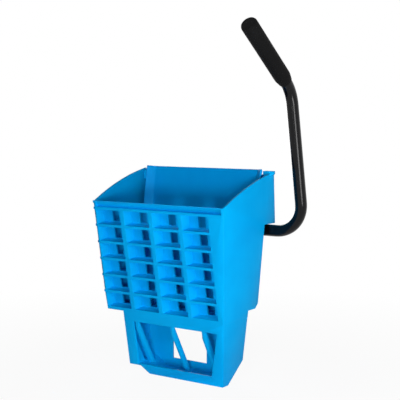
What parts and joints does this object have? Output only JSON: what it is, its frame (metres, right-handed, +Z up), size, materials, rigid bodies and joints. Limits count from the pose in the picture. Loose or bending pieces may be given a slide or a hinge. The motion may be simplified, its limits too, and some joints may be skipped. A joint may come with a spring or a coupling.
{
  "type": "side press mop wringer",
  "caption": "Blue side press mop wringer: waffle-fronted basket on an open stand, with a hinged press plate that a bent tube handle swings forward through gears.",
  "frame": {"origin": "on the floor under the stand, midway across the front rim's width and between the front rim and the rear hood", "axes": "+X to the handle's side (right), +Y to the rear, +Z up; the waffle front looks along -Y"},
  "size_m": [0.387, 0.2547, 0.6639],
  "materials": {
    "blue_plastic": "satin moulded polypropylene",
    "black_tube": "gloss black coated steel tube",
    "grip": "matte black rubber",
    "rubber": "matte black rubber",
    "black_plastic": "matte black plastic",
    "nylon": "natural nylon",
    "bare_steel": "zinc plated steel",
    "gear_steel": "cut steel",
    "black_steel": "black oxide steel"
  },
  "bodies": {
    "frame": {"basket_shell": "blue_plastic", "base_stand": "blue_plastic", "stand_screws": "bare_steel", "rear_cover": "blue_plastic", "cover_screws": "bare_steel", "left_bearing": "blue_plastic", "right_bearing": "blue_plastic", "bearing_screws": "bare_steel", "left_bush": "nylon", "right_bush": "nylon", "hinge_rod": "bare_steel", "hinge_cap": "black_plastic", "rest_bumpers": "rubber"},
    "handle": {"handle_tube": "black_tube", "hand_grip": "grip", "tube_plug": "black_plastic", "left_pinion": "gear_steel", "right_pinion": "gear_steel", "pinion_pins": "bare_steel", "shaft_collars": "bare_steel", "collar_screws": "black_steel"},
    "press": {"press_plate": "blue_plastic", "left_sector": "gear_steel", "right_sector": "gear_steel", "sector_screws": "bare_steel", "plate_bushes": "nylon"}
  },
  "joints": [
    {"name": "handle_swing", "type": "hinge", "parent": "frame", "child": "handle", "pos_m": [0, 0.07905, 0.28547], "axis": [-1, 0, 0], "range_deg": [0, 105]},
    {"name": "press_swing", "type": "hinge", "parent": "frame", "child": "press", "pos_m": [0, 0.032, 0.1576], "axis": [1, 0, 0], "range_deg": [0, 19.5]}
  ],
  "couplings": [
    {"joint": "press_swing", "follows": "handle_swing", "ratio": 0.18478}
  ]
}
